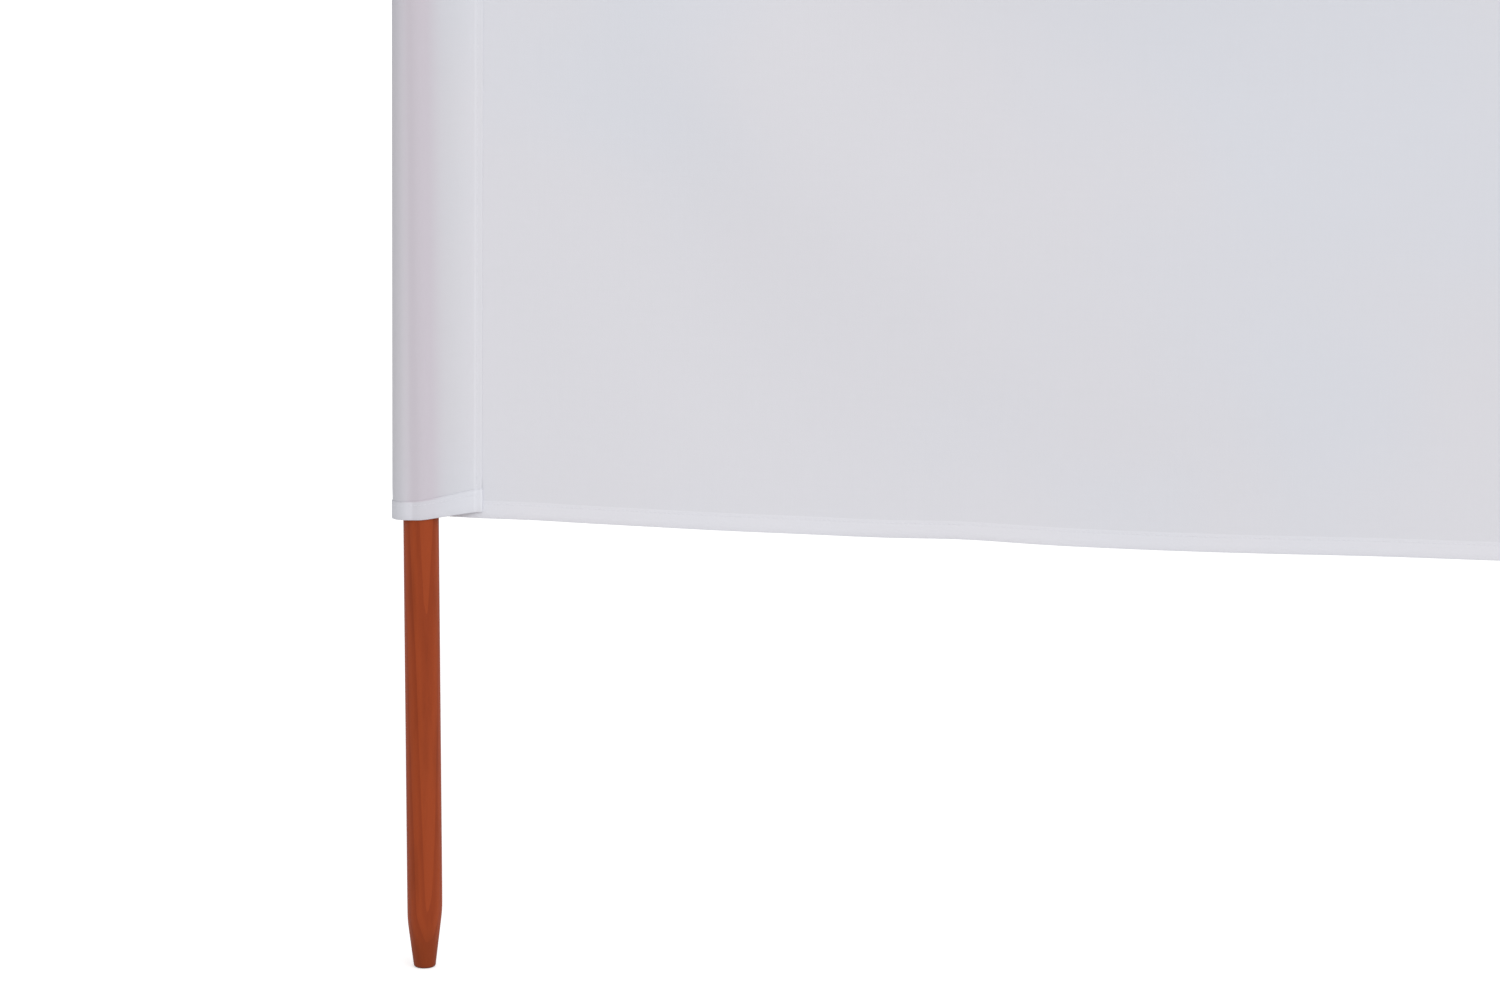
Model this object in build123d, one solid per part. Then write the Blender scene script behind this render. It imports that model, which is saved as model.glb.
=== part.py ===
from build123d import *
import os
from math import acos, atan2, cos, degrees, hypot, sin

# A fabric windbreak: six bays of hemmed cloth on seven round wooden stakes.
# Lengths are in millimetres. X runs along the row, the front faces -Y and +Z is up.
# The origin is the middle of the flat at the point of the middle stake.

# Row
BAYS = 6
BAY_PITCH = 1325.0  # from stake to stake
CLOTH_BOTTOM = 390.0  # bare stake below the cloth
CLOTH_HEIGHT = 800.0
CLOTH_THICKNESS = 1.0
BOTTOM_SAG = 8.0  # how far the cloth hangs lower halfway between two stakes
TOP_SAG = 8.0

# Wooden stake
POLE_LENGTH = 1200.0
POLE_DIAMETER = 30.0
POINT_LENGTH = 46.0
POINT_END_DIAMETER = 18.5
POINT_END_EASE = 2.0
SHOULDER_ROUND = 60.0  # eases the shaft into the point
HEAD_EASE = 3.0

# Hem, where the cloth's edge is folded over and sewn
HEM_HEIGHT = 15.0
HEM_EASE = 0.6

# Sleeve, the cloth tunnel that holds a stake
POLE_CLEARANCE = 0.2
SLEEVE_EDGE = 51.0  # from the stake's axis to the sewn edge
SEAM_WIDTH = 6.0  # the flat strip along that edge, turned under and sewn to the panel
SEAM_BEND = 8.0
FOLD_SLACK = 8.0  # loose cloth past an end stake

# Depths and places worked out from the sizes above
pole_radius = POLE_DIAMETER / 2
panel_front = pole_radius + POLE_CLEARANCE
panel_back = panel_front + CLOTH_THICKNESS
hem_back = panel_back + CLOTH_THICKNESS
seam_front = panel_front - CLOTH_THICKNESS
cloth_top = CLOTH_BOTTOM + CLOTH_HEIGHT
pole_x = [(number - BAYS / 2) * BAY_PITCH for number in range(BAYS + 1)]


def make_pole():
    """A turned stake: chamfered head, straight shaft and a cone that ends in a small flat."""
    half = make_face(
        Polyline(
            (0, 0),
            (POINT_END_DIAMETER / 2, 0),
            (pole_radius, POINT_LENGTH),
            (pole_radius, POLE_LENGTH),
            (0, POLE_LENGTH),
            close=True,
        )
    )
    eased_corners = (
        (fillet, pole_radius, POINT_LENGTH, SHOULDER_ROUND),
        (chamfer, POINT_END_DIAMETER / 2, 0, POINT_END_EASE),
        (chamfer, pole_radius, POLE_LENGTH, HEAD_EASE),
    )
    for ease, out, up, size in eased_corners:
        corner = half.vertices().sort_by_distance((out, up, 0))[0]
        half = ease(corner, size)
    return revolve(Plane.XZ * half, Axis.Z)


def drooping_edge(bay, height, sag):
    """One bay's cloth edge: an arc from stake to stake, with a straight end past an end stake."""
    left, right = pole_x[bay], pole_x[bay + 1]
    edge = [ThreePointArc((left, height), ((left + right) / 2, height - sag), (right, height))]
    if bay == 0:
        edge.insert(0, Line((left - FOLD_SLACK, height), (left, height)))
    if bay == BAYS - 1:
        edge.append(Line((right, height), (right + FOLD_SLACK, height)))
    return edge


def cloth_strip(bay, low, low_sag, high, high_sag, front, back):
    """One bay's cloth between two drooping edges, from depth front to depth back."""
    lower = drooping_edge(bay, low, low_sag)
    upper = drooping_edge(bay, high, high_sag)
    sides = [Line(lower[end] @ place, upper[end] @ place) for end, place in ((0, 0), (-1, 1))]
    face = Plane.XZ.offset(-front) * make_face(lower + upper + sides)
    return extrude(face, amount=back - front, dir=(0, 1, 0))


def make_panel(bay):
    """The cloth of one bay, from stake to stake and behind both."""
    low = CLOTH_BOTTOM + CLOTH_THICKNESS
    high = cloth_top - CLOTH_THICKNESS
    return cloth_strip(bay, low, BOTTOM_SAG, high, TOP_SAG, panel_front, panel_back)


def make_hem(bay, edge, sag, inward):
    """The folded edge of one bay's cloth: it wraps the panel's edge and is sewn down behind it.

    Inward is 1 where the cloth lies above the edge and -1 where it lies below.
    """
    fold, sewn = edge + inward * CLOTH_THICKNESS, edge + inward * HEM_HEIGHT
    wrap = cloth_strip(bay, min(edge, fold), sag, max(edge, fold), sag, panel_front, hem_back)
    turned = cloth_strip(bay, min(fold, sewn), sag, max(fold, sewn), sag, panel_back, hem_back)
    folds = [
        line
        for line in wrap.edges()
        if line.length > BAY_PITCH / 2 and abs((line @ 0).Z - edge) < CLOTH_THICKNESS / 2
    ]
    return chamfer(folds, HEM_EASE) + turned


def tangent_point(sewn_side):
    """Where the cloth that rises from a sewn edge first touches the loop round the stake."""
    out, back = SLEEVE_EDGE - SEAM_WIDTH, seam_front
    angle = atan2(back, out) - acos(panel_front / hypot(out, back))
    return (sewn_side * panel_front * cos(angle), panel_front * sin(angle))


def sewn_leg(sewn_side):
    """The cloth from a sewn edge, flat along the seam, up to the loop round the stake."""
    return FilletPolyline(
        (sewn_side * SLEEVE_EDGE, seam_front),
        (sewn_side * (SLEEVE_EDGE - SEAM_WIDTH), seam_front),
        tangent_point(sewn_side),
        radius=SEAM_BEND,
    )


def end_sleeve_plan():
    """The inner line of a left end sleeve: sewn edge, stake's front, loose fold, stake's back."""
    touch_out, touch_back = tangent_point(1)
    touch_angle = degrees(atan2(touch_back, touch_out))
    front = CenterArc((0, 0), panel_front, touch_angle, -90 - touch_angle)
    slack = Line((0, -panel_front), (-FOLD_SLACK, -panel_front))
    fold = CenterArc((-FOLD_SLACK, 0), panel_front, -90, -180)
    return Wire([*sewn_leg(1).edges(), front, slack, fold])


def middle_sleeve_plan():
    """The inner line of a middle sleeve: a strip sewn down on both sides of the stake."""
    touch_out, touch_back = tangent_point(1)
    touch_angle = degrees(atan2(touch_back, touch_out))
    front = CenterArc((0, 0), panel_front, touch_angle, -180 - 2 * touch_angle)
    return Wire([*sewn_leg(1).edges(), front, *sewn_leg(-1).edges()])


def turned_edge(sewn_side):
    """The strip of cloth turned under a sewn edge, flat between the sleeve and the panel."""
    middle = Pos(sewn_side * (SLEEVE_EDGE - SEAM_WIDTH / 2), (seam_front + panel_front) / 2)
    strip = middle * Rectangle(SEAM_WIDTH, CLOTH_THICKNESS)
    return extrude(Pos(0, 0, CLOTH_BOTTOM) * strip, CLOTH_HEIGHT)


def make_sleeve(plan, sewn_sides):
    """A cloth tunnel of that plan, twice as thick at its sewn edges and where its ends are hemmed."""
    cloth, doubled = [
        make_face(plan.offset_2d(layers * CLOTH_THICKNESS, side=Side.LEFT).edges())
        for layers in (1, 2)
    ]
    tunnel = extrude(Pos(0, 0, CLOTH_BOTTOM) * cloth, CLOTH_HEIGHT)
    hems = [
        extrude(Pos(0, 0, height) * doubled, HEM_HEIGHT)
        for height in (CLOTH_BOTTOM, cloth_top - HEM_HEIGHT)
    ]
    return tunnel + hems + [turned_edge(sewn_side) for sewn_side in sewn_sides]


def write(shape, name):
    """Writes one piece to its own file, named for the piece."""
    export_step(shape, f"parts/{name}.step")


os.makedirs("parts", exist_ok=True)

pole = make_pole()
for number, x in enumerate(pole_x, start=1):
    write(Pos(x, 0, 0) * pole, f"pole_{number}")

for bay in range(BAYS):
    write(make_panel(bay), f"panel_{bay + 1}")
    write(make_hem(bay, CLOTH_BOTTOM, BOTTOM_SAG, 1), f"bottom_hem_{bay + 1}")
    write(make_hem(bay, cloth_top, TOP_SAG, -1), f"top_hem_{bay + 1}")

end_sleeve = make_sleeve(end_sleeve_plan(), (1,))
write(Pos(pole_x[0], 0, 0) * end_sleeve, "end_sleeve_left")
write(Pos(pole_x[-1], 0, 0) * mirror(end_sleeve, Plane.YZ), "end_sleeve_right")

middle_sleeve = make_sleeve(middle_sleeve_plan(), (1, -1))
for number, x in enumerate(pole_x[1:-1], start=2):
    write(Pos(x, 0, 0) * middle_sleeve, f"sleeve_{number}")
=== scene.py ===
import math
import random

import bpy
import numpy as np
from mathutils import Matrix, Vector


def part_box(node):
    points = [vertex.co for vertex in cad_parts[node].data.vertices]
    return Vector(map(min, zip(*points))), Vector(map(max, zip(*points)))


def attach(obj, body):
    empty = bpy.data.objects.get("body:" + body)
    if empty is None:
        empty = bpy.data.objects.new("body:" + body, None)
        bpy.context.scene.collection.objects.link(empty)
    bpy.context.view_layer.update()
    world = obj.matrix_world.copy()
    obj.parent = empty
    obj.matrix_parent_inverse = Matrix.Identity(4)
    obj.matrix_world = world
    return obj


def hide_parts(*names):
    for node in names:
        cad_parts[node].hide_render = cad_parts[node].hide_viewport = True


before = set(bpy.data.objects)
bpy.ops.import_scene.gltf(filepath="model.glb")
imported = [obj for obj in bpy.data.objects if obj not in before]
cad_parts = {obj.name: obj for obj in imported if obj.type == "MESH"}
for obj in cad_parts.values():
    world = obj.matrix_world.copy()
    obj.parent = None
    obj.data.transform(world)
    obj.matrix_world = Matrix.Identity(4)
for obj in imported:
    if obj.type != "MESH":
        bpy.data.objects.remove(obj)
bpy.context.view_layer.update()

# Stakes
# Seven pine dowels, turned round and sawn to a blunt cone at the foot, then dipped in red-brown stain.
# Each is pushed up through its sleeve, so only the foot and the head stay bare.
BAYS = 6
STAKE_SIDES = 64
POINT_LENGTH = 0.046
POINT_END_RADIUS = 0.0092
POINT_END_ROUND = 0.0022
HEAD_ROUND = 0.003
SHOULDER_EASE = 0.00035  # how softly the sawn cone runs into the shaft
SHOULDER_TOP = POINT_LENGTH * 1.5  # up to here the rings of the mesh lie close together
SHOULDER_RINGS, SHAFT_RINGS = 26, 30
POINT_OFF_CENTRE = 0.0006  # the saw never meets the dowel quite in its middle
OUT_OF_HEART = (0.016, 0.034)  # how far from the heart of its tree a dowel was cut
TREE_HEIGHT = 9
FIRST_HEART = (0.012, -0.021, 4.0)  # where the first stake, the photographed one, was in its tree
RING_WIDTH = 0.0024
STAIN = (0.322, 0.0536, 0.0128, 1)
LATE_WOOD = (0.232, 0.0338, 0.0080, 1)
PALE_FIBRES = (0.382, 0.0705, 0.0172, 1)
# the colour painted on the downward-facing cone at the foot as shade
CONE_SHADE_COLOUR = (0.210, 0.0352, 0.0075, 1)
PATCH_SHADE = (0.84, 0.82, 0.80, 1)
END_GRAIN_SHADE = (0.70, 0.66, 0.66, 1)

stake_low, stake_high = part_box("pole_1")
stake_radius = (stake_high.x - stake_low.x) / 2
stake_length = stake_high.z
stake_x = [sum(corner.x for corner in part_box(f"pole_{number}")) / 2 for number in range(1, BAYS + 2)]
bay_width = stake_x[1] - stake_x[0]


def new_piece(name, vertices, faces):
    """A mesh object in the row's frame."""
    mesh = bpy.data.meshes.new(name)
    mesh.from_pydata([tuple(vertex) for vertex in vertices], [], faces)
    mesh.validate()
    mesh.shade_smooth()
    piece = bpy.data.objects.new(name, mesh)
    bpy.context.scene.collection.objects.link(piece)
    return piece


def rounded_off(to_end, rounding):
    """How much a rounded end is drawn in at a distance from it."""
    return rounding - math.sqrt(rounding**2 - max(rounding - to_end, 0) ** 2)


def stake_outline(height, cone_shift):
    """Distance from the axis to the wood: the sawn cone or the round shaft, whichever is nearer."""
    cone = POINT_END_RADIUS + (stake_radius - POINT_END_RADIUS) * height / POINT_LENGTH + cone_shift
    gap = (stake_radius - cone) / SHOULDER_EASE
    radius = stake_radius - SHOULDER_EASE * math.log1p(math.exp(gap))
    return radius - rounded_off(height, POINT_END_ROUND) - rounded_off(stake_length - height, HEAD_ROUND)


def stake_heights():
    """Ring heights: close at the rounded ends and round the shoulder, wide along the shaft."""
    rounding = [1 - math.cos(math.radians(angle)) for angle in range(0, 91, 15)]
    foot = [POINT_END_ROUND * part for part in rounding]
    cone = list(np.linspace(POINT_END_ROUND, SHOULDER_TOP, SHOULDER_RINGS))[1:]
    shaft = list(np.linspace(SHOULDER_TOP, stake_length - HEAD_ROUND, SHAFT_RINGS))[1:]
    head = [stake_length - HEAD_ROUND * part for part in reversed(rounding)][1:]
    return foot + cone + shaft + head


def make_stake(name, axis_x, saw_side, heart):
    """One stake. Saw side is where its point is off centre, and heart where it grew in the tree."""
    heights = stake_heights()
    angles = [2 * math.pi * side / STAKE_SIDES for side in range(STAKE_SIDES)]
    vertices = []
    for height in heights:
        for angle in angles:
            radius = stake_outline(height, POINT_OFF_CENTRE * math.cos(angle - saw_side))
            vertices.append((axis_x + radius * math.cos(angle), radius * math.sin(angle), height))
    faces = [
        (
            ring * STAKE_SIDES + side,
            ring * STAKE_SIDES + (side + 1) % STAKE_SIDES,
            (ring + 1) * STAKE_SIDES + (side + 1) % STAKE_SIDES,
            (ring + 1) * STAKE_SIDES + side,
        )
        for ring in range(len(heights) - 1)
        for side in range(STAKE_SIDES)
    ]
    last_ring = (len(heights) - 1) * STAKE_SIDES
    faces.append(tuple(reversed(range(STAKE_SIDES))))
    faces.append(tuple(range(last_ring, last_ring + STAKE_SIDES)))
    stake = new_piece(name, vertices, faces)
    in_tree = np.array(vertices) - (axis_x, 0, 0) + heart
    stake.data.attributes.new("in_tree", "FLOAT_VECTOR", "POINT").data.foreach_set("vector", in_tree.ravel())
    for flat_end in stake.data.polygons[-2:]:
        flat_end.use_smooth = False
    return stake


def add_node(tree, kind, place, inputs=None, **settings):
    """A shader node. Its inputs, by name or number, get constants or the outputs that feed them."""
    node = tree.nodes.new(kind)
    node.location = place
    for key, value in settings.items():
        setattr(node, key, value)
    for key, value in (inputs or {}).items():
        if isinstance(value, bpy.types.NodeSocket):
            tree.links.new(value, node.inputs[key])
        else:
            node.inputs[key].default_value = value
    return node


def add_maths(tree, place, operation, *values):
    """One step of arithmetic on constants and outputs, and its result."""
    return add_node(tree, "ShaderNodeMath", place, dict(enumerate(values)), operation=operation).outputs[0]


def add_noise(tree, place, vector, scale, detail, roughness=0.5):
    """Noise over a vector, and its result."""
    inputs = {"Vector": vector, "Scale": scale, "Detail": detail, "Roughness": roughness}
    return add_node(tree, "ShaderNodeTexNoise", place, inputs).outputs["Fac"]


def add_ramp(tree, place, value, low, high, to_low=0.0, to_high=1.0):
    """A soft step: to_low where the value is at low, to_high where it is at high."""
    inputs = {"Value": value, "From Min": low, "From Max": high, "To Min": to_low, "To Max": to_high}
    step = add_node(tree, "ShaderNodeMapRange", place, inputs, interpolation_type="SMOOTHSTEP")
    return step.outputs["Result"]


def mix_colours(tree, place, share, first, second, mode="MIX"):
    """The first colour, which turns into the second, or is multiplied by it, as share goes from 0 to 1."""
    inputs = {0: share, 6: first, 7: second}
    return add_node(tree, "ShaderNodeMix", place, inputs, data_type="RGBA", blend_type=mode).outputs[2]


def add_relief(tree, place, height, strength, depth):
    """Relief on a material from a height, where a height of 1 stands depth metres proud."""
    inputs = {"Strength": strength, "Distance": depth, "Height": height}
    bump = add_node(tree, "ShaderNodeBump", place, inputs)
    tree.links.new(bump.outputs["Normal"], tree.nodes["Principled BSDF"].inputs["Normal"])


def new_material(name, plain):
    """A material, its nodes and its shader. Plain holds what is the same all over, by the shader's names."""
    material = bpy.data.materials.new(name)
    material.use_nodes = True
    shader = material.node_tree.nodes["Principled BSDF"]
    for socket, value in plain.items():
        shader.inputs[socket].default_value = value
    return material, material.node_tree, shader


def new_group(name, inputs, outputs):
    """An empty shader node group with named sockets: (name, kind, default) in, and numbers out."""
    group = bpy.data.node_groups.new(name, "ShaderNodeTree")
    for socket_name, kind, default in inputs:
        socket = group.interface.new_socket(socket_name, in_out="INPUT", socket_type=kind)
        if default is not None:
            socket.default_value = default
    for socket_name in outputs:
        group.interface.new_socket(socket_name, in_out="OUTPUT", socket_type="NodeSocketFloat")
    entry = add_node(group, "NodeGroupInput", (-900, 0))
    leave = add_node(group, "NodeGroupOutput", (700, 0))
    return group, entry.outputs, leave.inputs


def build_stake_grain_group():
    """Pine's growth rings cut by a dowel, with fine fibres along it, from a place in metres."""
    group, given, result = new_group(
        "stake grain",
        [("Place", "NodeSocketVector", None), ("Ring Width", "NodeSocketFloat", RING_WIDTH)],
        ["Rings", "Fibres", "Patches"],
    )
    heart, along, broad = (
        add_node(group, "ShaderNodeMapping", (-700, up), {"Vector": given["Place"], "Scale": (1, 1, drawn)})
        for up, drawn in ((200, 0.012), (-160, 0.02), (-380, 0.12))
    )
    bend = add_noise(group, (-520, 380), heart.outputs[0], 55.0, 2.0)
    out = add_node(group, "ShaderNodeVectorMath", (-520, 160), {0: heart.outputs[0]}, operation="LENGTH")
    wander = add_maths(group, (-340, 300), "MULTIPLY", bend, 0.004)
    ring_place = add_maths(group, (-180, 220), "ADD", out.outputs["Value"], wander)
    in_rings = add_maths(group, (-20, 220), "DIVIDE", ring_place, given["Ring Width"])
    part = add_maths(group, (140, 220), "FRACT", in_rings)
    group.links.new(add_ramp(group, (300, 220), part, 0.35, 0.95), result["Rings"])
    group.links.new(add_noise(group, (-400, -120), along.outputs[0], 1500.0, 3.0, 0.6), result["Fibres"])
    group.links.new(add_noise(group, (-400, -380), broad.outputs[0], 120.0, 2.0), result["Patches"])
    return group


def make_stained_pine():
    """Red-brown stain over pine: darker late wood and end grain, painted shade on the downward-facing cone,
    with a dull sheen.
    """
    material, tree, shader = new_material("stained pine", {"Specular IOR Level": 0.14})
    place = add_node(tree, "ShaderNodeTexCoord", (-1500, 0)).outputs["Object"]
    in_tree = add_node(tree, "ShaderNodeAttribute", (-1500, 200), attribute_name="in_tree").outputs["Vector"]
    grain = add_node(tree, "ShaderNodeGroup", (-1250, 0), {"Place": in_tree}, node_tree=stake_grain).outputs
    rings = add_maths(tree, (-1060, 320), "MULTIPLY", grain["Rings"], 0.55)
    colour = mix_colours(tree, (-900, 200), rings, STAIN, LATE_WOOD)
    fibres = add_ramp(tree, (-900, -20), grain["Fibres"], 0.5, 0.8, 0.0, 0.35)
    colour = mix_colours(tree, (-700, 200), fibres, colour, PALE_FIBRES)
    patches = add_ramp(tree, (-700, -60), grain["Patches"], 0.45, 0.75, 0.0, 0.8)
    colour = mix_colours(tree, (-500, 200), patches, colour, PATCH_SHADE, "MULTIPLY")
    height = add_node(tree, "ShaderNodeSeparateXYZ", (-900, -300), {0: place}).outputs["Z"]
    # painted shade: the downward-facing cone is drawn darker
    on_cone = add_ramp(tree, (-700, -300), height, POINT_LENGTH * 1.05, POINT_LENGTH * 0.2, 0.0, 0.8)
    colour = mix_colours(tree, (-300, 200), on_cone, colour, CONE_SHADE_COLOUR)
    to_end = add_maths(tree, (-900, -640), "PINGPONG", height, stake_length / 2)
    in_end = add_ramp(tree, (-500, -640), to_end, POINT_END_ROUND, POINT_END_ROUND * 0.3)
    colour = mix_colours(tree, (-120, 200), in_end, colour, END_GRAIN_SHADE, "MULTIPLY")
    tree.links.new(colour, shader.inputs["Base Color"])
    rough = add_ramp(tree, (-300, -80), grain["Fibres"], 0.3, 0.8, 0.5, 0.66)
    tree.links.new(rough, shader.inputs["Roughness"])
    relief = add_maths(tree, (-500, -480), "MULTIPLY_ADD", grain["Rings"], 0.4, grain["Fibres"])
    add_relief(tree, (-300, -400), relief, 0.35, 0.0004)
    return material


stake_grain = build_stake_grain_group()
stained_pine = make_stained_pine()
timber = random.Random(11)
for number, axis_x in enumerate(stake_x, start=1):
    saw_side = math.pi if number == 1 else timber.uniform(0, 2 * math.pi)
    grew, out = timber.uniform(0, 2 * math.pi), timber.uniform(*OUT_OF_HEART)
    heart = (out * math.cos(grew), out * math.sin(grew), timber.uniform(0, TREE_HEIGHT))
    if number == 1:
        heart = FIRST_HEART
    stake = make_stake(f"stake_{number}", axis_x, saw_side, heart)
    stake.data.materials.append(stained_pine)
    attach(stake, "root")
    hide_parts(f"pole_{number}")

# Cloth
# Thin pale plain-woven polyester, one length a bay, with both its edges folded twice to the back and sewn.
# At each end of the row it runs on round the stake, and its turned-under edge is sewn to its own front.
CLOTH = 0.0003  # real thickness
LAYER = 0.00036  # from layer to layer where the cloth is folded on itself
COLUMN = 0.012  # spacing of the cloth's grid
THREAD_WIDTH = 0.00042
CLOTH_COLOUR = (0.727, 0.722, 0.764, 1)
COOLER_COLOUR = (0.710, 0.722, 0.776, 1)
STAKE_BEHIND = (0.583, 0.541, 0.594, 1)  # the cloth's colour where a stake shows through it, painted in: the stake's red and the light it keeps from coming through

# Hems, from the cloth's edge
HEM_HEIGHT = 0.015
HEM_ROWS = (0.0050, 0.0100)  # rows of the grid inside it
RAW_EDGE = 0.0040  # where the turned-under raw edge lies
STITCH_UP = 0.0125  # where the row of stitches lies
HEM_EASE = 0.004  # height over which the cloth beside a hem gives way to it
PRESSED_IN = 0.7 * LAYER  # how far a hem presses in the cloth under it round a stake

# Sewn edges of the sleeves
SEAM = 0.006  # width of the turned-under strip
RAW_SHORT = 0.0006  # how far its raw edge stays behind the end of the seam
SEAM_EASE = 0.008  # width over which the cloth beside a seam gives way to it
SEAM_LIFTED = 2.2 * LAYER  # how far the hems under a seam lift it
LOW_EDGE, HIGH_EDGE = 0.0489, 0.0568  # end sleeves, sewn askew: stake's axis to sewn edge, low and high
LOW_SLACK, HIGH_SLACK = 0.0086, 0.0006  # their loose cloth past the stake, low and high
FLAP_LOW, FLAP_HIGH = -0.0009, 0.0048  # the line on which their lower edge rises from stake to seam
FLAP_HEM = 0.020  # height of their lower hem at the seam
TOP_LIFTED = 0.4  # how far their upper edge rises, as a share of the lower
SEAM_POINTS, LEG_POINTS = 5, 26  # of the plan line: along a seam, and from there up to a stake
FRONT_POINTS, FOLD_POINTS, BACK_POINTS = 7, 26, 8  # before a stake, round it, and behind it

# How the cloth between two seams hangs
RIPPLES = 7
RIPPLE = 0.0018
RIPPLE_LENGTHS = (0.22, 0.65)
RIPPLE_LEAN = 0.9
SEAM_HOLDS = 0.25  # how far from a seam the cloth still lies flatter
SLACK = 0.0007  # how much longer the cloth is than the space it hangs in, for each metre
HANG_GRID = 0.02
HANG_FRAMES = 30
SWING_KEPT = 0.6  # the hems' three layers also hold the cloth flat, which the simulated grid leaves out
MOST_SWING = 0.009

# Where a hem hangs lower or higher than its even sag: place along the bay, how much lower, and how wide.
FIRST_HEM_WAVES = (
    (0.040, 0.0003, 0.030),
    (0.095, -0.0005, 0.035),
    (0.180, -0.0006, 0.090),
    (0.330, -0.0006, 0.060),
    (0.458, -0.0020, 0.055),
    (0.630, 0.0004, 0.075),
    (0.800, -0.0007, 0.070),
    (1.050, 0.0009, 0.110),
)
WAVE_PLACES, WAVE_SHIFT = (0.13, 0.27, 0.42, 0.57, 0.72, 0.87), 0.05  # on other hems, as shares of a bay
WAVE_DROPS, WAVE_WIDTHS = (-0.0018, 0.0011), (0.04, 0.10)

bay_front, bay_back = (corner.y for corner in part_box("panel_2"))
sleeve_low, sleeve_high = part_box("sleeve_2")
cloth_y = (bay_front + bay_back) / 2
loop_radius = cloth_y
cloth_bottom, cloth_top = sleeve_low.z, sleeve_high.z
cloth_height = cloth_top - cloth_bottom
edge_sag = cloth_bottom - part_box("bottom_hem_2")[0].z
sleeve_edge = sleeve_high.x - stake_x[1]  # from the stake's axis to the sewn edge


def hem_waves(bay, upper):
    """The slight waves of one hem."""
    if bay == 0 and not upper:
        return FIRST_HEM_WAVES
    draw = random.Random(40 + 2 * bay + upper)
    places = [bay_width * (share + draw.uniform(-WAVE_SHIFT, WAVE_SHIFT)) for share in WAVE_PLACES]
    return [(place, draw.uniform(*WAVE_DROPS), draw.uniform(*WAVE_WIDTHS)) for place in places]


def edge_droop(x, bay, upper):
    """How far the cloth's edge hangs below its height at the stakes: a shallow sag with slight waves."""
    part = np.clip((x - stake_x[bay]) / bay_width, 0, 1)
    droop = 4 * edge_sag * part * (1 - part)
    for place, lower, width in hem_waves(bay, upper):
        droop = droop + lower * np.exp(-(((x - stake_x[bay] - place) / width) ** 2))
    return droop


def front_rows():
    """Heights up the front of the cloth from its lower edge: close together at the hems."""
    hem = [0, LAYER, *HEM_ROWS]
    middle = np.linspace(HEM_HEIGHT, cloth_height - HEM_HEIGHT, round(cloth_height / COLUMN))
    return np.array([*hem, *middle, *[cloth_height - part for part in reversed(hem)]])


def folded_rows():
    """Rows from raw edge to raw edge: height up the front, layers behind it, and place on the cut cloth."""
    inner = [(RAW_EDGE, 1), (HEM_HEIGHT - 2 * LAYER, 1)]
    crease = [
        (HEM_HEIGHT - LAYER * (1 - math.sin(turn)), 1.5 - 0.5 * math.cos(turn)) for turn in (0.8, 1.57, 2.34)
    ]
    outer = [(height, 2) for height in (HEM_HEIGHT - 2 * LAYER, *reversed(HEM_ROWS))]
    edge = [(LAYER * (1 - math.sin(turn)), 1 + math.cos(turn)) for turn in (0, 0.785, 1.571, 2.356)]
    hem = np.array([*inner, *crease, *outer, *edge])
    steps = np.hypot(np.diff(hem[:, 0]), np.diff(hem[:, 1]) * LAYER)
    on_cut = -np.concatenate([np.cumsum(steps[::-1])[::-1], [0]]) - LAYER
    front = front_rows()[1:-1]
    up = np.concatenate([hem[:, 0], front, cloth_height - hem[::-1, 0]])
    layers = np.concatenate([hem[:, 1], np.zeros(len(front)), hem[::-1, 1]])
    cut = np.concatenate([on_cut, front, cloth_height - on_cut[::-1]])
    return up, layers, cut


def fold_hems(front, behind, sewn):
    """The whole cloth from its front's grid. Behind is each column's direction to the folded hems.

    Sewn is 1 for the columns of a sewn edge and 0 elsewhere. There the hems lie between the edge and the
    cloth behind it too, and lift it. Round a stake, where that direction isn't straight back, they press
    the cloth under them in.
    """
    up, layers, _ = folded_rows()
    whole = np.empty((len(up), front.shape[1], 3))
    for column in range(front.shape[1]):
        for axis in range(3):
            whole[:, column, axis] = np.interp(up, front_rows(), front[:, column, axis])
    to_edge = np.minimum(up, cloth_height - up)
    in_hem = np.clip((HEM_HEIGHT + HEM_EASE - to_edge) / HEM_EASE, 0, 1)[:, None]
    round_stake = behind[:, 1] < 0.99
    pressed_in = PRESSED_IN * in_hem * round_stake * (1 - sewn)
    whole[..., :2] += ((layers * LAYER)[:, None] - pressed_in)[..., None] * behind[None, :, :]
    whole[..., 1] -= SEAM_LIFTED * in_hem * sewn
    return whole


def sewn_columns(along, sewn_ends):
    """How far each column belongs to a sewn edge: 1 over the seam, and less on the cloth that leaves it."""
    sewn = np.zeros(len(along))
    for end in sewn_ends:
        sewn = np.maximum(sewn, np.clip((2 * SEAM + SEAM_EASE - np.abs(along - end)) / SEAM_EASE, 0, 1))
    return sewn


def ripples(x, z, seed):
    """Shallow soft waves that cross the cloth in a few directions."""
    draw = random.Random(seed)
    depth = np.zeros_like(x)
    for wave in range(RIPPLES):
        length = draw.uniform(*RIPPLE_LENGTHS)
        angle = draw.uniform(-RIPPLE_LEAN, RIPPLE_LEAN) + math.pi / 2 * (wave % 2)
        start = draw.uniform(0, 2 * math.pi)
        across = x * math.cos(angle) + z * math.sin(angle)
        depth += np.sin(2 * math.pi * across / length + start) * length / RIPPLE_LENGTHS[1]
    return depth / 3


def grid_faces(rows, columns):
    """Quads over a grid of rows and columns of vertices."""
    return [
        (
            row * columns + column,
            row * columns + column + 1,
            (row + 1) * columns + column + 1,
            (row + 1) * columns + column,
        )
        for row in range(rows - 1)
        for column in range(columns - 1)
    ]


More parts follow.
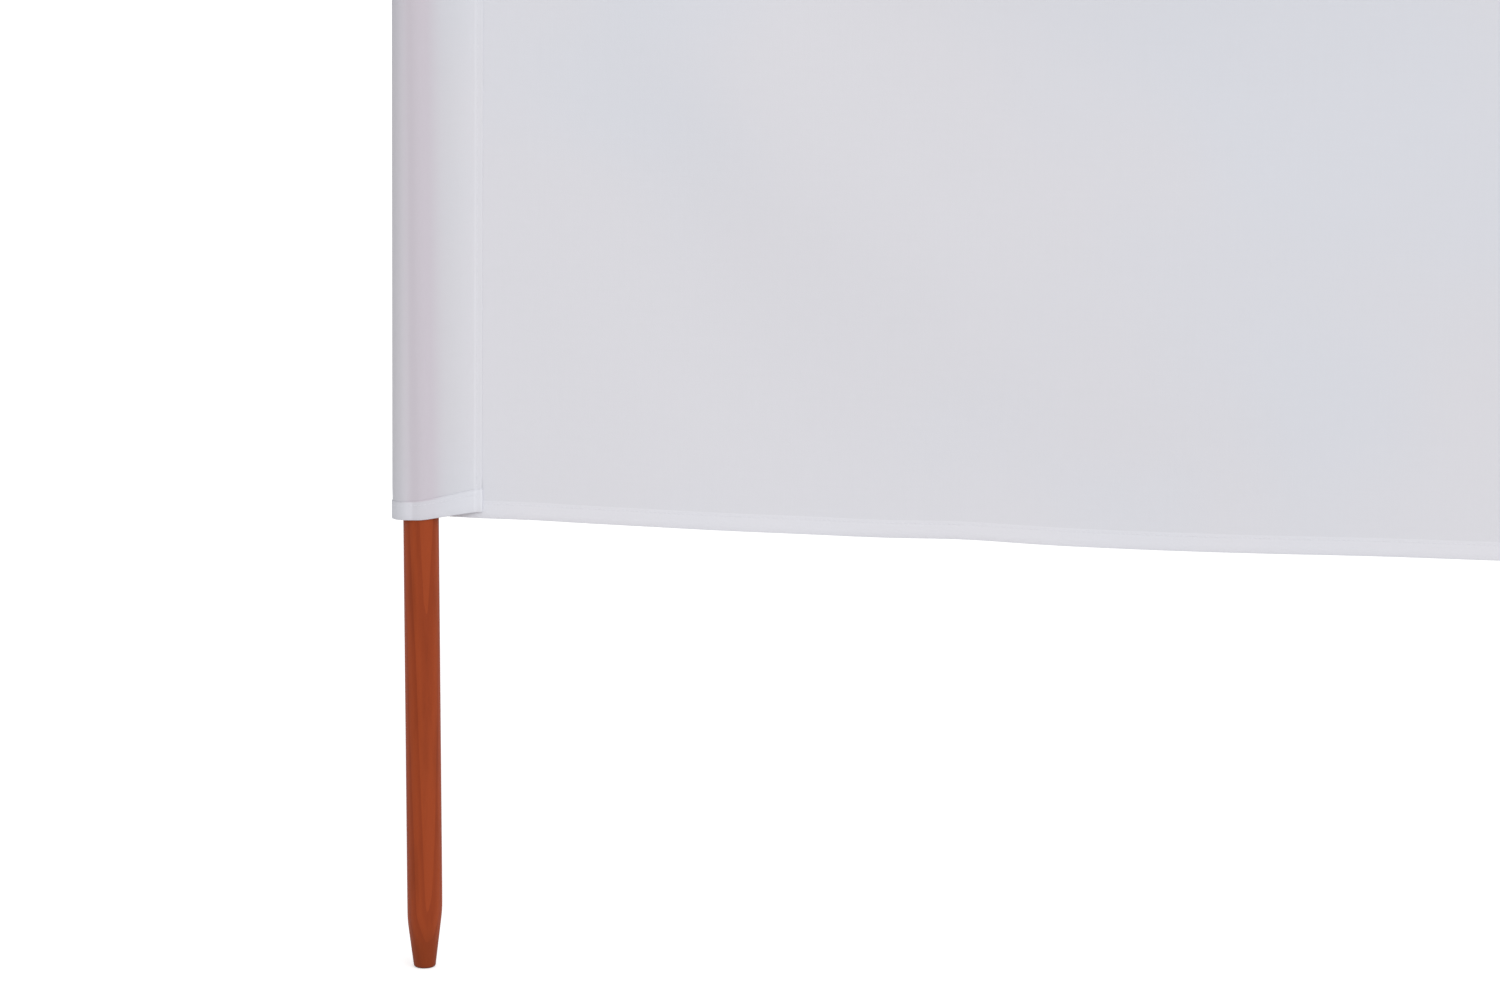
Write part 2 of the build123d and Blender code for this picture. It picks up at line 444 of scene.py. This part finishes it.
def swing_of(start, rows, columns):
    """Lets slack cloth hang between its two seams and returns how far back each point swings."""
    cloth = new_piece("hanging", start.reshape(-1, 3), grid_faces(rows, columns))
    column_of = np.arange(rows * columns) % columns
    held = np.flatnonzero((column_of < 1) | (column_of > columns - 2))
    cloth.vertex_groups.new(name="held").add([int(vertex) for vertex in held], 1.0, "REPLACE")
    modifier = cloth.modifiers.new("Cloth", "CLOTH")
    settings = modifier.settings
    settings.quality = 7
    settings.mass = 0.05
    settings.tension_stiffness = 60
    settings.compression_stiffness = 60
    settings.shear_stiffness = 20
    settings.bending_stiffness = 0.6
    settings.air_damping = 2.5
    settings.shrink_min = -SLACK
    settings.vertex_group_mass = "held"
    modifier.point_cache.frame_start = 1
    modifier.point_cache.frame_end = HANG_FRAMES
    for step in range(1, HANG_FRAMES + 1):
        bpy.context.scene.frame_set(step)
    hung = cloth.evaluated_get(bpy.context.evaluated_depsgraph_get())
    places = np.empty(rows * columns * 3)
    hung.data.vertices.foreach_get("co", places)
    bpy.context.scene.frame_set(1)
    bpy.data.objects.remove(cloth)
    return (places.reshape(rows, columns, 3) - start)[..., 1]


def soften(values):
    """Evens out a line of points, or the rows of a grid, between its first and its last, in place."""
    values[1:-1] = (values[:-2] + 2 * values[1:-1] + values[2:]) / 4


def onto_grid(coarse, coarse_up, coarse_across, up, across):
    """Values of a coarse grid on the cloth's own finer grid, smoothed."""
    wide = np.stack([np.interp(across, coarse_across, row) for row in coarse])
    fine = np.stack([np.interp(up, coarse_up, column) for column in wide.T], 1)
    for _ in range(4):
        soften(fine)
        soften(fine.T)
    return fine


def flat_cloth(bay, across, up):
    """One bay's cloth on a grid of places along the row and heights up it, before it hangs."""
    x, share = np.meshgrid(across, up / cloth_height)
    low = cloth_bottom - edge_droop(x, bay, 0)
    high = cloth_top - edge_droop(x, bay, 1)
    return np.stack([x, np.full_like(x, cloth_y), low + share * (high - low)], -1)


def away_from_seams(x):
    """0 at the two seams of a bay's cloth, which hold it flat, and 1 well away from both."""
    part = np.clip(np.minimum(x - x.min(), x.max() - x) / SEAM_HOLDS, 0, 1)
    return part * part * (3 - 2 * part)


def rippled_cloth(bay, across, up):
    """The same between its two seams, with slight waves in it."""
    places = flat_cloth(bay, across, up)
    x, z = places[..., 0], places[..., 2]
    places[..., 1] += RIPPLE * ripples(x, z, bay) * away_from_seams(x)
    return places


def free_cloth(bay):
    """The front of one bay's cloth between its two seams, hung under its own weight."""
    left = stake_x[bay] + sleeve_edge - SEAM
    right = stake_x[bay + 1] - sleeve_edge + SEAM
    across = np.linspace(left, right, round((right - left) / COLUMN))
    places = rippled_cloth(bay, across, front_rows())
    few_across = np.linspace(left, right, round((right - left) / HANG_GRID))
    few_up = np.linspace(0, cloth_height, round(cloth_height / HANG_GRID))
    swing = swing_of(rippled_cloth(bay, few_across, few_up), len(few_up), len(few_across))
    swing = onto_grid(swing, few_up, few_across, front_rows(), across)
    places[..., 1] += SWING_KEPT * swing * away_from_seams(places[..., 0])
    places[..., 1] = cloth_y + MOST_SWING * np.tanh((places[..., 1] - cloth_y) / MOST_SWING)
    return places


def sewn_edge(edge_x):
    """Plan from a turned-under raw edge round the fold, over the seam and up to the stake's front."""
    under, over = cloth_y - LAYER, cloth_y - 2 * LAYER
    fold_x, fold_y = edge_x - LAYER / 2, (under + over) / 2
    seam_end = edge_x - SEAM
    touch = math.atan2(over, seam_end) - math.acos(loop_radius / math.hypot(seam_end, over))
    touch_point = (loop_radius * math.cos(touch), loop_radius * math.sin(touch))
    turned = np.linspace((seam_end + RAW_SHORT, under), (fold_x, under), SEAM_POINTS)
    fold = [
        (fold_x + LAYER / 2 * math.cos(turn), fold_y + LAYER / 2 * math.sin(turn)) for turn in (0.6, 0, -0.6)
    ]
    flat = np.linspace((fold_x, over), (seam_end, over), SEAM_POINTS)[:-1]
    leg = np.concatenate([flat, np.linspace((seam_end, over), touch_point, LEG_POINTS)])
    for _ in range(5):
        soften(leg)
    return np.concatenate([turned, fold, leg]), touch


def arc_points(centre_x, start, end, steps):
    """Plan points along the cloth where it goes round a stake, without the first."""
    angles = np.linspace(start, end, steps + 1)[1:]
    return np.stack([centre_x + loop_radius * np.cos(angles), loop_radius * np.sin(angles)], -1)


def outward(plan):
    """Directions from the plan line to the side with the folded hems."""
    along = np.gradient(plan, axis=0)
    along /= np.hypot(*along.T)[:, None]
    return np.stack([-along[:, 1], along[:, 0]], -1)


def end_sleeve_plan(edge_x, slack):
    """A left end sleeve from its sewn edge round the stake, and its directions to the folded hems."""
    edge, touch = sewn_edge(edge_x)
    front = arc_points(0, touch, -math.pi / 2, FRONT_POINTS)
    loose = np.linspace((0, -loop_radius), (-slack, -loop_radius), 5)[1:]
    fold = arc_points(-slack, -math.pi / 2, -3 * math.pi / 2, FOLD_POINTS)
    plan = np.concatenate([edge, front, loose, fold])
    return plan, outward(plan)


def middle_sleeve_plan():
    """A middle sleeve: a strip sewn down on both sides of its stake, and its directions to the hems."""
    edge, touch = sewn_edge(sleeve_edge)
    half = np.concatenate([edge, arc_points(0, touch, -math.pi / 2, FRONT_POINTS)])
    sideways = outward(np.concatenate([half, half[-2:-1] * (-1, 1)]))[:-1]
    plan = np.concatenate([half, half[-2::-1] * (-1, 1)])
    return plan, np.concatenate([sideways, sideways[-2::-1] * (-1, 1)])


# How a stake, and the shade in the hollow beside it inside its sleeve, show through the cloth: both painted
# into its colour.
TOUCHING = 0.0009  # a stake shows most through cloth that is this near to it
FADE_AHEAD, FADE_BEHIND = 0.0035, 0.006  # how fast that fades in cloth before a stake, and behind it
SHOWS_BEHIND = 0.5  # share of it that shows through the cloth behind a stake
AHEAD_STEP = 0.001  # cloth this far before the long cloth is before a stake
HOLLOW_FROM, HOLLOW_PAST = 0.009, 0.004  # out from a stake's axis where the painted shade of the hollow fades, and past the axis
HOLLOW_CLOSES, HOLLOW_ENDS = 0.35, 0.5  # how much less it shows towards the seam, and more so near it
LOOSE_FROM, LOOSE_WIDTH, LOOSE_SHOWS = 0.003, 0.010, 0.88  # the same painted shade in the loose cloth of an end sleeve


def paint_amounts(places, along, sleeve_sides, sewn_ends):
    """What is painted where thin cloth is at a stake: the stake seen through it where they touch, and the
    shade in the hollow beside it.

    Sleeve sides are the stakes there, each with the sides on which a sewn edge lies. Sewn ends are the
    places along the cloth of its own sewn edges, where it lies double and no shade of the hollow is painted.
    """
    touch, hollow_shade = (np.zeros(places.shape[:2]) for _ in range(2))
    for axis_x, sides in sleeve_sides:
        out = places[..., 0] - axis_x
        # painted see-through of the stake: strongest where the cloth touches it, weaker behind it
        apart = np.hypot(out, places[..., 1]) - stake_radius
        ahead = np.clip((cloth_y - LAYER - places[..., 1]) / AHEAD_STEP, 0, 1)
        fade = FADE_BEHIND + (FADE_AHEAD - FADE_BEHIND) * ahead
        close = np.exp(-np.clip(apart - TOUCHING, 0, None) / fade)
        touch = np.maximum(touch, close * (SHOWS_BEHIND + (1 - SHOWS_BEHIND) * ahead))
        # painted shade: the hollow beside the stake, seen through the cloth before it
        for side in sides:
            far = np.clip((side * out - HOLLOW_FROM) / (sleeve_edge - SEAM - HOLLOW_FROM), 0, 1)
            over_it = (side * out > -HOLLOW_PAST) & (side * out < HIGH_EDGE)
            closing = 1 - HOLLOW_CLOSES * far - HOLLOW_ENDS * np.clip(far - 0.5, 0, 1)
            hollow_shade = np.maximum(hollow_shade, ahead * closing * over_it)
        if len(sides) == 1:
            loose = np.clip((-LOOSE_FROM - sides[0] * out) / LOOSE_WIDTH, 0, 1)
            loose = loose * (np.abs(out) < 2 * stake_radius)
            hollow_shade = np.maximum(hollow_shade, ahead * LOOSE_SHOWS * loose)
    for end in sewn_ends:
        hollow_shade[:, np.abs(along - end) < 2 * SEAM] = 0
    return {"touch": touch, "hollow_shade": hollow_shade}


def upright_cloth(low_plan, high_plan, lift, hem):
    """The front of cloth that stands on a low plan line and reaches up to a high one."""
    up = front_rows()
    share = (up / cloth_height)[:, None, None]
    places = np.empty((len(up), len(low_plan), 3))
    places[..., :2] = low_plan + share * (high_plan - low_plan)
    marks = [0, HEM_HEIGHT, cloth_height - HEM_HEIGHT, cloth_height]
    for column in range(len(low_plan)):
        low, top = cloth_bottom + lift[column], cloth_top + TOP_LIFTED * lift[column]
        places[:, column, 2] = np.interp(up, marks, [low, low + hem[column], top - HEM_HEIGHT, top])
    return places


def run_along(plan):
    """Distance along a plan line from its first point."""
    return np.concatenate([[0], np.cumsum(np.hypot(*np.diff(plan, axis=0).T))])


def cut_along(along):
    """Cut coordinates of a whole cloth whose columns lie at these distances along it."""
    cut = folded_rows()[2]
    return np.stack(np.broadcast_arrays(along[None, :], cut[:, None]), -1)


def sheet_piece(name, places, cut, paint):
    """A cloth piece of real thickness through a grid of places, with its cut as its UV map."""
    rows, columns = places.shape[:2]
    piece = new_piece(name, places.reshape(-1, 3), grid_faces(rows, columns))
    layer = piece.data.uv_layers.new(name="cut")
    loops = np.empty(len(piece.data.loops), dtype=int)
    piece.data.loops.foreach_get("vertex_index", loops)
    layer.data.foreach_set("uv", cut.reshape(-1, 2)[loops].ravel())
    for amount_name, amounts in paint.items():
        amount = piece.data.attributes.new(amount_name, "FLOAT", "POINT")
        amount.data.foreach_set("value", amounts.ravel())
    thick = piece.modifiers.new("Cloth thickness", "SOLIDIFY")
    thick.thickness = CLOTH
    thick.offset = 0
    return piece


def build_weave_group():
    """Plain weave from the cut's coordinates in metres: thread relief, uneven yarn and broad clouds."""
    group, given, result = new_group(
        "plain weave",
        [("Cut", "NodeSocketVector", None), ("Thread", "NodeSocketFloat", THREAD_WIDTH)],
        ["Relief", "Yarn", "Clouds"],
    )
    per_metre = add_maths(group, (-860, 60), "DIVIDE", math.pi, given["Thread"])
    inputs = {0: given["Cut"], "Scale": per_metre}
    in_threads = add_node(group, "ShaderNodeVectorMath", (-700, 200), inputs, operation="SCALE").outputs[0]
    ways = add_node(group, "ShaderNodeSeparateXYZ", (-520, 200), {0: in_threads}).outputs
    warp = add_maths(group, (-360, 280), "SINE", ways["X"])
    weft = add_maths(group, (-360, 120), "SINE", ways["Y"])
    group.links.new(add_maths(group, (-180, 200), "MULTIPLY", warp, weft), result["Relief"])
    slubs = []
    for up, stretch in ((-100, (600, 14, 1)), (-340, (14, 600, 1))):
        drawn = add_node(group, "ShaderNodeMapping", (-620, up), {"Vector": given["Cut"], "Scale": stretch})
        slubs.append(add_noise(group, (-420, up), drawn.outputs[0], 1.0, 3.0))
    yarn = add_maths(group, (-180, -180), "ADD", *slubs)
    group.links.new(add_maths(group, (0, -180), "MULTIPLY", yarn, 0.5), result["Yarn"])
    inputs = {"Vector": given["Cut"], "Location": (-8.74, -19.69, 0.88)}
    moved = add_node(group, "ShaderNodeMapping", (-620, -560), inputs)
    group.links.new(add_noise(group, (-420, -560), moved.outputs[0], 3.0, 2.0), result["Clouds"])
    return group


def add_weave(tree):
    """Weave and folded hems as relief on a material. Returns the weave, and how far a point is in a hem."""
    cut = add_node(tree, "ShaderNodeUVMap", (-1900, 0), uv_map="cut").outputs["UV"]
    weave = add_node(tree, "ShaderNodeGroup", (-1700, 0), {"Cut": cut}, node_tree=plain_weave).outputs
    up = add_node(tree, "ShaderNodeSeparateXYZ", (-1700, -1000), {0: cut}).outputs["Y"]
    to_edge = add_maths(tree, (-1540, -1000), "PINGPONG", up, cloth_height / 2)
    in_hem = add_ramp(tree, (-1380, -1000), to_edge, HEM_HEIGHT + 0.0002, HEM_HEIGHT - 0.0002)
    off_line = add_maths(tree, (-1380, -1200), "SUBTRACT", to_edge, STITCH_UP)
    distance = add_maths(tree, (-1220, -1200), "ABSOLUTE", off_line)
    drawn_down = add_ramp(tree, (-1060, -1200), distance, 0.0004, 0.0020, -1.2, 0.0)
    folds = add_maths(tree, (-860, -1100), "ADD", in_hem, drawn_down)
    threads = add_maths(tree, (-680, -480), "MULTIPLY_ADD", weave["Relief"], 0.5, weave["Yarn"])
    relief = add_maths(tree, (-500, -480), "ADD", threads, folds)
    add_relief(tree, (-300, -400), relief, 0.25, 0.00012)
    return weave, in_hem


def scaled_by(tree, place, colour, amount, low, high):
    """A colour made darker or brighter by an amount from 0 to 1: times low at 0 and times high at 1."""
    inputs = {"Value": amount, "To Min": low, "To Max": high}
    factor = add_node(tree, "ShaderNodeMapRange", (place[0] - 180, place[1] - 160), inputs)
    inputs = {0: colour, "Scale": factor.outputs["Result"]}
    return add_node(tree, "ShaderNodeVectorMath", place, inputs, operation="SCALE").outputs[0]


def make_windbreak_cloth():
    """Pale woven polyester. Its hems are brighter, a stake shows faintly through a single layer as a painted
    tint, and the hollow beside it as painted shade.
    """
    plain = {"Roughness": 0.78, "Specular IOR Level": 0.25, "Sheen Weight": 0.08, "Sheen Roughness": 0.5}
    material, tree, shader = new_material("windbreak cloth", plain)
    weave, in_hem = add_weave(tree)
    touch = add_node(tree, "ShaderNodeAttribute", (-1700, -300), attribute_name="touch").outputs["Fac"]
    hollow_shade = add_node(tree, "ShaderNodeAttribute", (-1700, -500), attribute_name="hollow_shade").outputs["Fac"]
    clouds = add_ramp(tree, (-1500, 300), weave["Clouds"], 0.40, 0.66)
    colour = mix_colours(tree, (-1300, 200), clouds, CLOTH_COLOUR, COOLER_COLOUR)
    colour = scaled_by(tree, (-1100, 200), colour, weave["Yarn"], 0.985, 1.015)
    # painted shade of the hollow beside a stake, seen through single cloth, less in a hem
    less_in_hem = add_maths(tree, (-1200, -500), "MULTIPLY_ADD", in_hem, -0.1, 1.0)
    hollow_shade = add_maths(tree, (-1040, -500), "MULTIPLY", hollow_shade, less_in_hem)
    colour = scaled_by(tree, (-860, 200), colour, hollow_shade, 1.0, 0.85)
    # painted see-through of a stake as a darker reddish tint, much less in a hem
    less_in_hem = add_maths(tree, (-1200, -300), "MULTIPLY_ADD", in_hem, -0.62, 1.0)
    touch = add_maths(tree, (-1040, -300), "MULTIPLY", touch, less_in_hem)
    colour = mix_colours(tree, (-640, 200), touch, colour, STAKE_BEHIND)
    colour = scaled_by(tree, (-400, 200), colour, in_hem, 1.0, 1.052)
    tree.links.new(colour, shader.inputs["Base Color"])
    return material


plain_weave = build_weave_group()
windbreak_cloth = make_windbreak_cloth()


def end_sleeve_front(side):
    """The front of the cloth in an end sleeve, with directions to its hems. Side is 1 at the left end."""
    low_plan, behind = end_sleeve_plan(LOW_EDGE, LOW_SLACK)
    high_plan, _ = end_sleeve_plan(HIGH_EDGE, HIGH_SLACK)
    share = np.clip(1 - run_along(low_plan) / (sleeve_edge + 2 * loop_radius), 0, 1)
    lift = FLAP_LOW * np.clip(4 * share, 0, 1) + (FLAP_HIGH - FLAP_LOW) * share
    hem = HEM_HEIGHT + (FLAP_HEM - HEM_HEIGHT) * share
    front = upright_cloth(low_plan, high_plan, lift, hem)
    front[..., 0] = (stake_x[0] if side == 1 else stake_x[-1]) + side * front[..., 0]
    behind = behind * (side, 1)
    return (front, behind) if side == 1 else (front[:, ::-1], behind[::-1])


long_cloths = []
for bay in range(BAYS):
    left, right = stake_x[bay], stake_x[bay + 1]
    free = free_cloth(bay)
    starts = np.linspace(left, free[0, 0, 0], BACK_POINTS)[:-1]
    ends = np.linspace(free[0, -1, 0], right, BACK_POINTS)[1:]
    fronts = [flat_cloth(bay, starts, front_rows()), free, flat_cloth(bay, ends, front_rows())]
    behinds = [np.tile((0.0, 1.0), (part.shape[1], 1)) for part in fronts]
    stood_for = [f"panel_{bay + 1}", f"bottom_hem_{bay + 1}", f"top_hem_{bay + 1}"]
    if bay == 0:
        loop, behind = end_sleeve_front(1)
        fronts.insert(0, loop)
        behinds.insert(0, behind)
        stood_for.append("end_sleeve_left")
    if bay == BAYS - 1:
        loop, behind = end_sleeve_front(-1)
        fronts.append(loop)
        behinds.append(behind)
        stood_for.append("end_sleeve_right")
    front = np.concatenate(fronts, 1)
    behind = np.concatenate(behinds)
    along = run_along(front[len(front) // 2, :, :2])
    sewn_ends = [along[0]] * (bay == 0) + [along[-1]] * (bay == BAYS - 1)
    places = fold_hems(front, behind, sewn_columns(along, sewn_ends))
    sides = [(left, (1,) if bay == 0 else (1, -1)), (right, (-1,) if bay == BAYS - 1 else (1, -1))]
    paint = paint_amounts(places, along, sides, sewn_ends)
    cloth = sheet_piece(f"cloth_{bay + 1}", places, cut_along(along + bay * bay_width), paint)
    cloth.data.materials.append(windbreak_cloth)
    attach(cloth, "root")
    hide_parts(*stood_for)
    long_cloths.append((cloth, places, behind, along, sewn_ends))

# Middle sleeves
# A strip of the same cloth over each inner stake, hemmed at both ends, with its edges turned under
# and sewn to the long cloth behind it on both sides of the stake.
POCKET_LIFTED = (-0.0004, 0.0012)
POCKET_LEANS = 0.0012  # how much more it may be lifted on one side than in its middle
POCKET_HEM_LEANS = 0.0008

pocket_askew = random.Random(5)
pockets = []
for number in range(2, BAYS + 1):
    plan, behind = middle_sleeve_plan()
    across = plan[:, 0] / sleeve_edge
    lift = pocket_askew.uniform(*POCKET_LIFTED) + pocket_askew.uniform(-1, 1) * POCKET_LEANS * across
    hem = HEM_HEIGHT + POCKET_HEM_LEANS * across * pocket_askew.uniform(-1, 1)
    front = upright_cloth(plan, plan, lift, hem)
    front[..., 0] += stake_x[number - 1]
    along = run_along(plan)
    sewn_ends = [along[0], along[-1]]
    places = fold_hems(front, behind, sewn_columns(along, sewn_ends))
    paint = paint_amounts(places, along, [(stake_x[number - 1], (1, -1))], sewn_ends)
    pocket = sheet_piece(f"pocket_{number}", places, cut_along(along + number * bay_width / 2), paint)
    pocket.data.materials.append(windbreak_cloth)
    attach(pocket, "root")
    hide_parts(f"sleeve_{number}")
    pockets.append((pocket, places, behind, along, sewn_ends))

# Stitches
# Pale polyester thread, sewn through all layers by machine: one row along each hem
# and one down each sewn edge of a sleeve, seen on the front and on the back.
THREAD_RADIUS = 0.00016
THREAD_SIDES = 5
THREAD_OUT = CLOTH / 2 + THREAD_RADIUS * 0.4  # from the middle of the cloth to the thread's
THREAD_DARK, THREAD_PALE = (0.70, 0.70, 0.75, 1), (0.84, 0.84, 0.88, 1)
STITCH = 0.004
STITCH_MARKS = (0.08, 0.24, 0.76, 0.92)  # its tail, where it is full, and its tip, as shares of a stitch
STITCH_IN = 0.0042  # from a sleeve's sewn edge to the row of stitches down it
HEM_CLEAR = 0.0015  # how far from a hem that row goes on beyond it


def stitch_rows(name, rows):
    """Short thread spindles along rows of places: each row is its points and the side that they lie on."""
    vertices, faces = [], []
    for points, side in rows:
        runs = np.concatenate([[0], np.cumsum(np.linalg.norm(np.diff(points, axis=0), axis=1))])
        count = int(runs[-1] // STITCH)
        marks = (np.arange(count)[:, None] + np.array(STITCH_MARKS)) * STITCH
        places = np.stack([np.interp(marks, runs, points[:, axis]) for axis in range(3)], -1)
        sides = np.stack([np.interp(marks[:, 0], runs, side[:, axis]) for axis in range(3)], -1)
        for (tail, *full, tip), out in zip(places, sides):
            forward = Vector(tip - tail).normalized()
            out = Vector(out)
            across = forward.cross(out)
            first = len(vertices) + 1
            second = first + THREAD_SIDES
            last = second + THREAD_SIDES
            vertices.append(tuple(Vector(tail) - out * THREAD_RADIUS))
            for middle in full:
                for corner in range(THREAD_SIDES):
                    turn = corner * 2 * math.pi / THREAD_SIDES
                    reach = out * math.cos(turn) + across * math.sin(turn)
                    vertices.append(tuple(Vector(middle) + reach * THREAD_RADIUS))
            vertices.append(tuple(Vector(tip) - out * THREAD_RADIUS))
            for corner in range(THREAD_SIDES):
                after = (corner + 1) % THREAD_SIDES
                faces.append((first - 1, first + after, first + corner))
                faces.append((first + corner, first + after, second + after, second + corner))
                faces.append((second + corner, second + after, last))
    return new_piece(name, vertices, faces)


def on_cloth(places, along, at_along, at_cut):
    """Places on a cloth's grid at one distance along it and these heights on its cut."""
    cut = folded_rows()[2]
    beside = np.stack([[np.interp(at_along, along, row[:, axis]) for axis in range(3)] for row in places])
    return np.stack([np.interp(at_cut, cut, beside[:, axis]) for axis in range(3)], -1)


def hem_stitch_rows(places, along, behind, seen):
    """Rows of places for both hems of a cloth, on its front and on its folded side."""
    out = np.concatenate([behind, np.zeros((len(behind), 1))], 1)[seen]
    rows = []
    for edge, inward in ((0, 1), (cloth_height, -1)):
        for fold, side in ((inward, -1), (-inward, 1)):
            line = [on_cloth(places, along, run, [edge + fold * STITCH_UP])[0] for run in along[seen]]
            rows.append((np.array(line) + side * out * THREAD_OUT, side * out))
    return rows


def seam_stitch_rows(places, along, sewn_end):
    """Rows of places down a sewn edge, on the sleeve's outside and on the back of the cloth behind it."""
    into = SEAM - RAW_SHORT + LAYER + STITCH_IN
    run = sewn_end + into if sewn_end == along[0] else sewn_end - into
    low_hem = np.linspace(-0.0010, -0.0135, 4)  # on the cut, the hem's outer layer lies below the edge
    between = np.linspace(HEM_HEIGHT + HEM_CLEAR, cloth_height - HEM_HEIGHT - HEM_CLEAR, 60)
    heights = np.concatenate([low_hem, between, cloth_height - low_hem[::-1]])
    forward = np.tile((0.0, -1.0, 0.0), (len(heights), 1))
    line = on_cloth(places, along, run, heights)
    rear = line.copy()
    in_hem = (heights < 0) | (heights > cloth_height)
    rear[:, 1] = cloth_y + THREAD_OUT + 2 * LAYER * in_hem
    return [(line + forward * THREAD_OUT, forward), (rear, -forward)]


def sew(name, places, behind, along, sewn_ends):
    """All the stitches of one cloth: along both hems, as far as they are seen, and down its sewn edges."""
    seen = np.full(len(along), True)
    for end in sewn_ends:
        seen &= np.abs(along - end) > SEAM
    rows = hem_stitch_rows(places, along, behind, seen)
    for end in sewn_ends:
        rows += seam_stitch_rows(places, along, end)
    stitches = stitch_rows(name, rows)
    stitches.data.materials.append(thread)
    return stitches


def make_thread():
    """Pale spun thread with a fine twist."""
    material, tree, shader = new_material("thread", {"Roughness": 0.55})
    place = add_node(tree, "ShaderNodeTexCoord", (-900, 0)).outputs["Object"]
    twist = add_noise(tree, (-700, 0), place, 2200.0, 2.0)
    colour = mix_colours(tree, (-450, 100), twist, THREAD_DARK, THREAD_PALE)
    tree.links.new(colour, shader.inputs["Base Color"])
    add_relief(tree, (-450, -200), twist, 0.4, 0.0001)
    return material


thread = make_thread()
for number, (cloth, places, behind, along, sewn_ends) in enumerate(long_cloths, start=1):
    stitches = sew(f"hem_stitches_{number}", places, behind, along, sewn_ends)
    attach(stitches, "root")
for number, (pocket, places, behind, along, sewn_ends) in enumerate(pockets, start=2):
    stitches = sew(f"pocket_stitches_{number}", places, behind, along, sewn_ends)
    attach(stitches, "root")

# Floor, lamp and camera
# A pale floor that runs out of sight, soft light from the front and right, and the photograph's own
# viewpoint: right of the first stake and in front of the cloth, looking down at its lower corner.
FLOOR_REACH = 60.0
FLOOR_GLOW = 0.45
SKY_LIGHT, SKY_SEEN = 0.67, 1.0
LENS = 99.6
CAMERA_PLACE = Vector((-3.0501, -3.3375, 0.9614))
CAMERA_YAW = math.radians(10.897)
CAMERA_PITCH = math.radians(9.14)
CAMERA_ROLL = math.radians(0.168)


def add_seen_ray(tree):
    """1 for rays that a camera sees the background by, also in metal and through glass, and 0 for others."""
    rays = add_node(tree, "ShaderNodeLightPath", (-700, -200)).outputs
    seen = rays["Is Camera Ray"]
    for left, way in ((-500, "Is Glossy Ray"), (-340, "Is Transmission Ray")):
        seen = add_maths(tree, (left, -200), "MAXIMUM", seen, rays[way])
    return seen


def make_pale_floor():
    """Pale matt floor: it keeps the object's shadow, and a camera sees the rest of it as white."""
    plain = {"Base Color": (0.80, 0.80, 0.80, 1), "Roughness": 0.9, "Specular IOR Level": 0.0}
    material, tree, shader = new_material("pale floor", {**plain, "Emission Color": (1, 1, 1, 1)})
    glow = add_maths(tree, (-160, -200), "MULTIPLY", add_seen_ray(tree), FLOOR_GLOW)
    tree.links.new(glow, shader.inputs["Emission Strength"])
    return material


floor_corners = [(x * FLOOR_REACH, y * FLOOR_REACH, 0) for x, y in ((-1, -1), (1, -1), (1, 1), (-1, 1))]
floor = new_piece("floor", floor_corners, [(0, 1, 2, 3)])
floor.data.materials.append(make_pale_floor())

world = bpy.data.worlds.new("studio")
bpy.context.scene.world = world
world.use_nodes = True
sky = world.node_tree
inputs = {"Value": add_seen_ray(sky), "To Min": SKY_LIGHT, "To Max": SKY_SEEN}
strength = add_node(sky, "ShaderNodeMapRange", (-100, 0), inputs).outputs["Result"]
sky.links.new(strength, sky.nodes["Background"].inputs["Strength"])
sky.nodes["Background"].inputs["Color"].default_value = (1, 1, 1, 1)


def add_sun(name, azimuth, elevation, power, softness):
    """A wide soft lamp far away. Azimuth 0 stands in front of the row, and 90 at its right end."""
    lamp = bpy.data.lights.new(name, "SUN")
    lamp.energy = power
    lamp.angle = math.radians(softness)
    holder = bpy.data.objects.new(name, lamp)
    bpy.context.scene.collection.objects.link(holder)
    turn, rise = math.radians(azimuth), math.radians(elevation)
    to_lamp = Vector((math.sin(turn) * math.cos(rise), -math.cos(turn) * math.cos(rise), math.sin(rise)))
    holder.rotation_mode = "QUATERNION"
    holder.rotation_quaternion = to_lamp.to_track_quat("Z", "Y")


add_sun("front right lamp", azimuth=38, elevation=35, power=1.25, softness=70)

camera = bpy.data.objects.new("camera", bpy.data.cameras.new("camera"))
bpy.context.scene.collection.objects.link(camera)
camera.data.lens = LENS
camera.data.sensor_width = 36.0
camera.data.clip_end = 200.0
forward = Vector(
    (
        -math.sin(CAMERA_YAW) * math.cos(CAMERA_PITCH),
        math.cos(CAMERA_YAW) * math.cos(CAMERA_PITCH),
        -math.sin(CAMERA_PITCH),
    )
)
level = Vector((math.cos(CAMERA_YAW), math.sin(CAMERA_YAW), 0))
upward = level.cross(forward)
right = level * math.cos(CAMERA_ROLL) + upward * math.sin(CAMERA_ROLL)
upward = upward * math.cos(CAMERA_ROLL) - level * math.sin(CAMERA_ROLL)
turned = Matrix((right, upward, -forward)).transposed().to_4x4()
camera.matrix_world = Matrix.Translation(CAMERA_PLACE) @ turned
bpy.context.scene.camera = camera
bpy.context.scene.view_settings.view_transform = "Standard"
